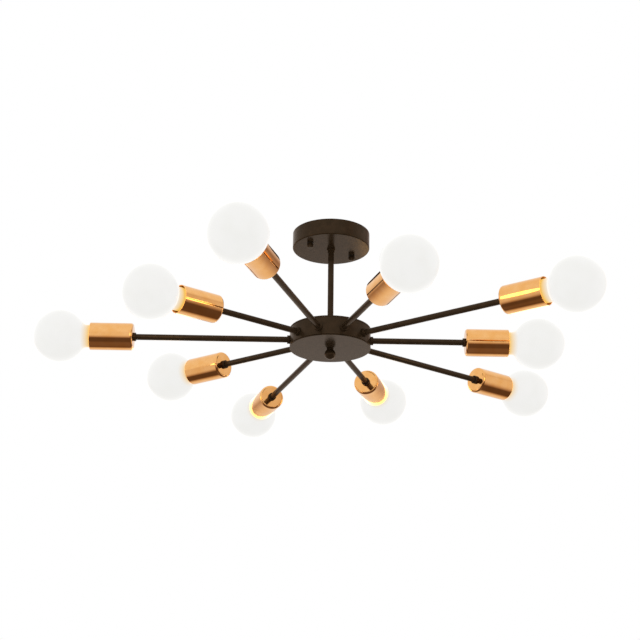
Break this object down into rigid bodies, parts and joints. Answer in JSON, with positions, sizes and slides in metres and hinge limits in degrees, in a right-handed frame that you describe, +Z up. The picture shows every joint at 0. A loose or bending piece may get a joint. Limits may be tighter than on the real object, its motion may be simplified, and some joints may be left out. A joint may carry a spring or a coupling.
{
  "type": "multi arm chandelier",
  "caption": "Radial semi-flush ceiling light: drum hub on a short stem, level arms of two lengths, plated cups and round opal bulbs that unscrew.",
  "frame": {"origin": "centre of the ceiling face, on top of the mounting bar", "axes": "+Z up into the ceiling, +X along the first long arm and along the mounting bar"},
  "size_m": [0.8125, 0.8502, 0.214],
  "materials": {
    "bronze_paint": "semi-gloss, bronze-black",
    "copper_plate": "polished copper plating",
    "opal_bulb": "opal, smooth",
    "nickel_cap": "nickel-plated, satin",
    "zinc_steel": "zinc-plated, dull",
    "contact_brass": "plain brass",
    "phenolic": "moulded phenolic",
    "washer_nylon": "black nylon",
    "terminal_nylon": "natural nylon",
    "lead_sheath": "silicone insulation"
  },
  "bodies": {
    "fixture": {"mounting_bar": "zinc_steel", "bar_studs": "zinc_steel", "terminal_block": "terminal_nylon", "canopy": "bronze_paint", "stem": "bronze_paint", "stem_collars": "bronze_paint", "stem_lock_nuts": "zinc_steel", "wiring_loom": "lead_sheath", "hub_drum": "bronze_paint", "cover_bracket": "zinc_steel", "arm_collars": "bronze_paint", "arm_lock_nuts": "zinc_steel", "lampholders": "phenolic", "lampholder_contacts": "contact_brass", "arm_01": "bronze_paint", "cup_01": "copper_plate", "arm_02": "bronze_paint", "cup_02": "copper_plate", "arm_03": "bronze_paint", "cup_03": "copper_plate", "arm_04": "bronze_paint", "cup_04": "copper_plate", "arm_05": "bronze_paint", "cup_05": "copper_plate", "arm_06": "bronze_paint", "cup_06": "copper_plate", "arm_07": "bronze_paint", "cup_07": "copper_plate", "arm_08": "bronze_paint", "cup_08": "copper_plate", "arm_09": "bronze_paint", "cup_09": "copper_plate", "arm_10": "bronze_paint", "cup_10": "copper_plate"},
    "bulb_01_cap": {"bulb_cap_01": "nickel_cap"},
    "bulb_01": {"bulb_globe_01": "opal_bulb"},
    "bulb_02_cap": {"bulb_cap_02": "nickel_cap"},
    "bulb_02": {"bulb_globe_02": "opal_bulb"},
    "bulb_03_cap": {"bulb_cap_03": "nickel_cap"},
    "bulb_03": {"bulb_globe_03": "opal_bulb"},
    "bulb_04_cap": {"bulb_cap_04": "nickel_cap"},
    "bulb_04": {"bulb_globe_04": "opal_bulb"},
    "bulb_05_cap": {"bulb_cap_05": "nickel_cap"},
    "bulb_05": {"bulb_globe_05": "opal_bulb"},
    "bulb_06_cap": {"bulb_cap_06": "nickel_cap"},
    "bulb_06": {"bulb_globe_06": "opal_bulb"},
    "bulb_07_cap": {"bulb_cap_07": "nickel_cap"},
    "bulb_07": {"bulb_globe_07": "opal_bulb"},
    "bulb_08_cap": {"bulb_cap_08": "nickel_cap"},
    "bulb_08": {"bulb_globe_08": "opal_bulb"},
    "bulb_09_cap": {"bulb_cap_09": "nickel_cap"},
    "bulb_09": {"bulb_globe_09": "opal_bulb"},
    "bulb_10_cap": {"bulb_cap_10": "nickel_cap"},
    "bulb_10": {"bulb_globe_10": "opal_bulb"},
    "hub_cover": {"hub_cover": "bronze_paint"},
    "finial": {"finial": "bronze_paint"},
    "canopy_washer_a": {"canopy_washer_a": "washer_nylon"},
    "thumb_nut_a": {"thumb_nut_a": "bronze_paint"},
    "canopy_washer_b": {"canopy_washer_b": "washer_nylon"},
    "thumb_nut_b": {"thumb_nut_b": "bronze_paint"}
  },
  "joints": [
    {"name": "bulb_01_lead", "type": "slide", "parent": "fixture", "child": "bulb_01_cap", "axis": [1, 0, 0], "range_m": [0, 0.01452]},
    {"name": "bulb_01_unscrew", "type": "hinge", "parent": "bulb_01_cap", "child": "bulb_01", "pos_m": [0.405, 0, -0.174], "axis": [1, 0, 0], "range_deg": [0, 1440]},
    {"name": "bulb_02_lead", "type": "slide", "parent": "fixture", "child": "bulb_02_cap", "axis": [0.809, 0.5878, 0], "range_m": [0, 0.01452]},
    {"name": "bulb_02_unscrew", "type": "hinge", "parent": "bulb_02_cap", "child": "bulb_02", "pos_m": [0.25322, 0.18398, -0.174], "axis": [0.809, 0.5878, 0], "range_deg": [0, 1440]},
    {"name": "bulb_03_lead", "type": "slide", "parent": "fixture", "child": "bulb_03_cap", "axis": [0.309, 0.9511, 0], "range_m": [0, 0.01452]},
    {"name": "bulb_03_unscrew", "type": "hinge", "parent": "bulb_03_cap", "child": "bulb_03", "pos_m": [0.12515, 0.38518, -0.174], "axis": [0.309, 0.9511, 0], "range_deg": [0, 1440]},
    {"name": "bulb_04_lead", "type": "slide", "parent": "fixture", "child": "bulb_04_cap", "axis": [-0.309, 0.9511, 0], "range_m": [0, 0.01452]},
    {"name": "bulb_04_unscrew", "type": "hinge", "parent": "bulb_04_cap", "child": "bulb_04", "pos_m": [-0.09672, 0.29768, -0.174], "axis": [-0.309, 0.9511, 0], "range_deg": [0, 1440]},
    {"name": "bulb_05_lead", "type": "slide", "parent": "fixture", "child": "bulb_05_cap", "axis": [-0.809, 0.5878, 0], "range_m": [0, 0.01452]},
    {"name": "bulb_05_unscrew", "type": "hinge", "parent": "bulb_05_cap", "child": "bulb_05", "pos_m": [-0.32765, 0.23805, -0.174], "axis": [-0.809, 0.5878, 0], "range_deg": [0, 1440]},
    {"name": "bulb_06_lead", "type": "slide", "parent": "fixture", "child": "bulb_06_cap", "axis": [-1, 0, 0], "range_m": [0, 0.01452]},
    {"name": "bulb_06_unscrew", "type": "hinge", "parent": "bulb_06_cap", "child": "bulb_06", "pos_m": [-0.313, 0, -0.174], "axis": [-1, 0, 0], "range_deg": [0, 1440]},
    {"name": "bulb_07_lead", "type": "slide", "parent": "fixture", "child": "bulb_07_cap", "axis": [-0.809, -0.5878, 0], "range_m": [0, 0.01452]},
    {"name": "bulb_07_unscrew", "type": "hinge", "parent": "bulb_07_cap", "child": "bulb_07", "pos_m": [-0.32765, -0.23805, -0.174], "axis": [-0.809, -0.5878, 0], "range_deg": [0, 1440]},
    {"name": "bulb_08_lead", "type": "slide", "parent": "fixture", "child": "bulb_08_cap", "axis": [-0.309, -0.9511, 0], "range_m": [0, 0.01452]},
    {"name": "bulb_08_unscrew", "type": "hinge", "parent": "bulb_08_cap", "child": "bulb_08", "pos_m": [-0.09672, -0.29768, -0.174], "axis": [-0.309, -0.9511, 0], "range_deg": [0, 1440]},
    {"name": "bulb_09_lead", "type": "slide", "parent": "fixture", "child": "bulb_09_cap", "axis": [0.309, -0.9511, 0], "range_m": [0, 0.01452]},
    {"name": "bulb_09_unscrew", "type": "hinge", "parent": "bulb_09_cap", "child": "bulb_09", "pos_m": [0.12515, -0.38518, -0.174], "axis": [0.309, -0.9511, 0], "range_deg": [0, 1440]},
    {"name": "bulb_10_lead", "type": "slide", "parent": "fixture", "child": "bulb_10_cap", "axis": [0.809, -0.5878, 0], "range_m": [0, 0.01452]},
    {"name": "bulb_10_unscrew", "type": "hinge", "parent": "bulb_10_cap", "child": "bulb_10", "pos_m": [0.25322, -0.18398, -0.174], "axis": [0.809, -0.5878, 0], "range_deg": [0, 1440]},
    {"name": "finial_lead", "type": "slide", "parent": "fixture", "child": "hub_cover", "axis": [0, 0, -1], "range_m": [0, 0.007]},
    {"name": "finial_unscrew", "type": "hinge", "parent": "hub_cover", "child": "finial", "pos_m": [0, 0, -0.1961], "axis": [0, 0, -1], "range_deg": [0, 2520]},
    {"name": "thumb_nut_a_lead", "type": "slide", "parent": "fixture", "child": "canopy_washer_a", "axis": [0, 0, -1], "range_m": [0, 0.0049]},
    {"name": "thumb_nut_a_unscrew", "type": "hinge", "parent": "canopy_washer_a", "child": "thumb_nut_a", "pos_m": [-0.04, 0, -0.029], "axis": [0, 0, -1], "range_deg": [0, 2520]},
    {"name": "thumb_nut_b_lead", "type": "slide", "parent": "fixture", "child": "canopy_washer_b", "axis": [0, 0, -1], "range_m": [0, 0.0049]},
    {"name": "thumb_nut_b_unscrew", "type": "hinge", "parent": "canopy_washer_b", "child": "thumb_nut_b", "pos_m": [0.04, 0, -0.029], "axis": [0, 0, -1], "range_deg": [0, 2520]}
  ],
  "couplings": [
    {"joint": "bulb_01_lead", "follows": "bulb_01_unscrew", "m_per_rad": 0.00057757},
    {"joint": "bulb_02_lead", "follows": "bulb_02_unscrew", "m_per_rad": 0.00057757},
    {"joint": "bulb_03_lead", "follows": "bulb_03_unscrew", "m_per_rad": 0.00057757},
    {"joint": "bulb_04_lead", "follows": "bulb_04_unscrew", "m_per_rad": 0.00057757},
    {"joint": "bulb_05_lead", "follows": "bulb_05_unscrew", "m_per_rad": 0.00057757},
    {"joint": "bulb_06_lead", "follows": "bulb_06_unscrew", "m_per_rad": 0.00057757},
    {"joint": "bulb_07_lead", "follows": "bulb_07_unscrew", "m_per_rad": 0.00057757},
    {"joint": "bulb_08_lead", "follows": "bulb_08_unscrew", "m_per_rad": 0.00057757},
    {"joint": "bulb_09_lead", "follows": "bulb_09_unscrew", "m_per_rad": 0.00057757},
    {"joint": "bulb_10_lead", "follows": "bulb_10_unscrew", "m_per_rad": 0.00057757},
    {"joint": "finial_unscrew", "follows": "finial_lead", "rad_per_m": 6283.2},
    {"joint": "thumb_nut_a_unscrew", "follows": "thumb_nut_a_lead", "rad_per_m": 8976},
    {"joint": "thumb_nut_b_unscrew", "follows": "thumb_nut_b_lead", "rad_per_m": 8976}
  ]
}
